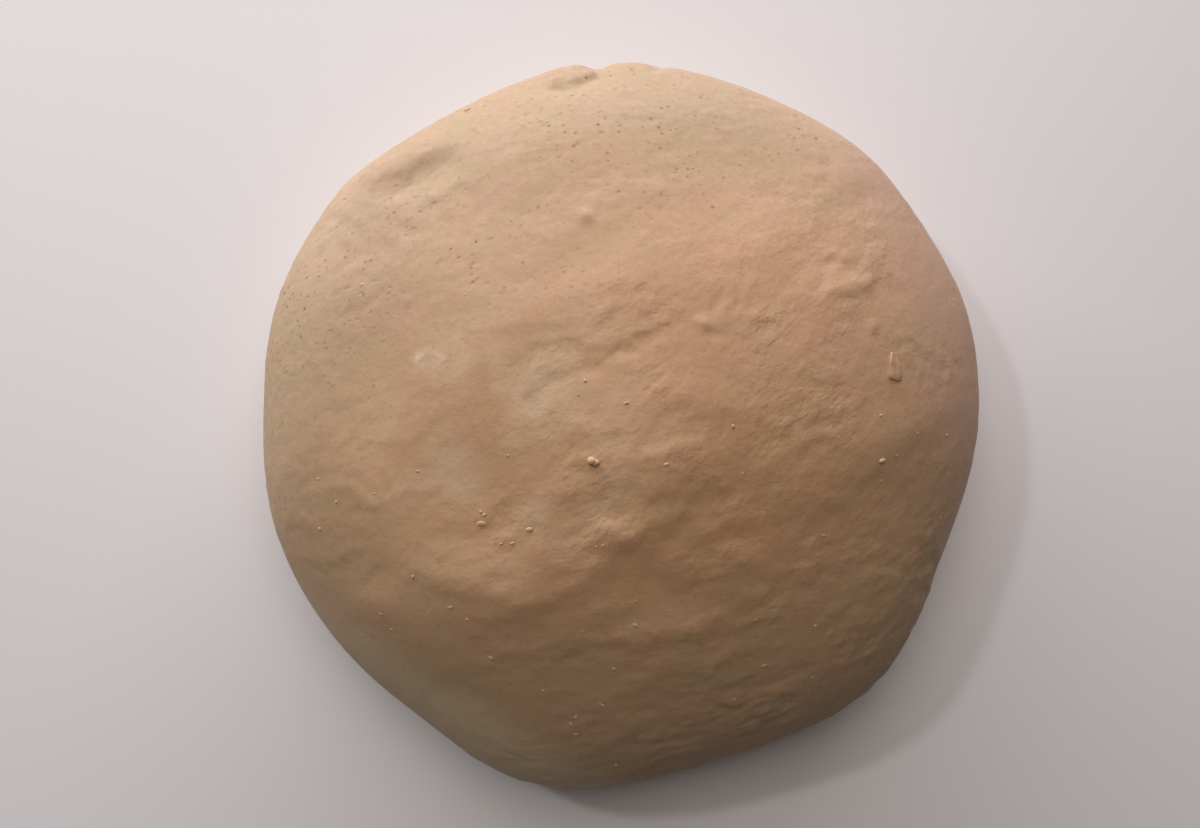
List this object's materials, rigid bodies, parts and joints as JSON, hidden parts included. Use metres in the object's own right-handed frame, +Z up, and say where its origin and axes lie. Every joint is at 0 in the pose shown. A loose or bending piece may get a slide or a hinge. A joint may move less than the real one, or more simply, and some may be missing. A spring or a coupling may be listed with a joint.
{
  "type": "irish stout bread dough",
  "caption": "Round kneaded ball of brown stout bread dough at rest on its flat underside, with a soft dome, a gathered fold at the back and shallow hand marks.",
  "frame": {"origin": "the middle of the flat underside, under the centre of the bounding box", "axes": "+Z up; +X to the right and +Y away from the viewer of the picture, so the gathered fold is on the +Y side"},
  "size_m": [0.1838, 0.1872, 0.06],
  "materials": {
    "dough": "soft satin skin of raw brown dough, with bran specks, small crumbs and a little dry flour; matte_plastic stands in because the list has no food"
  },
  "bodies": {
    "root": {"dough": "dough"}
  },
  "joints": []
}
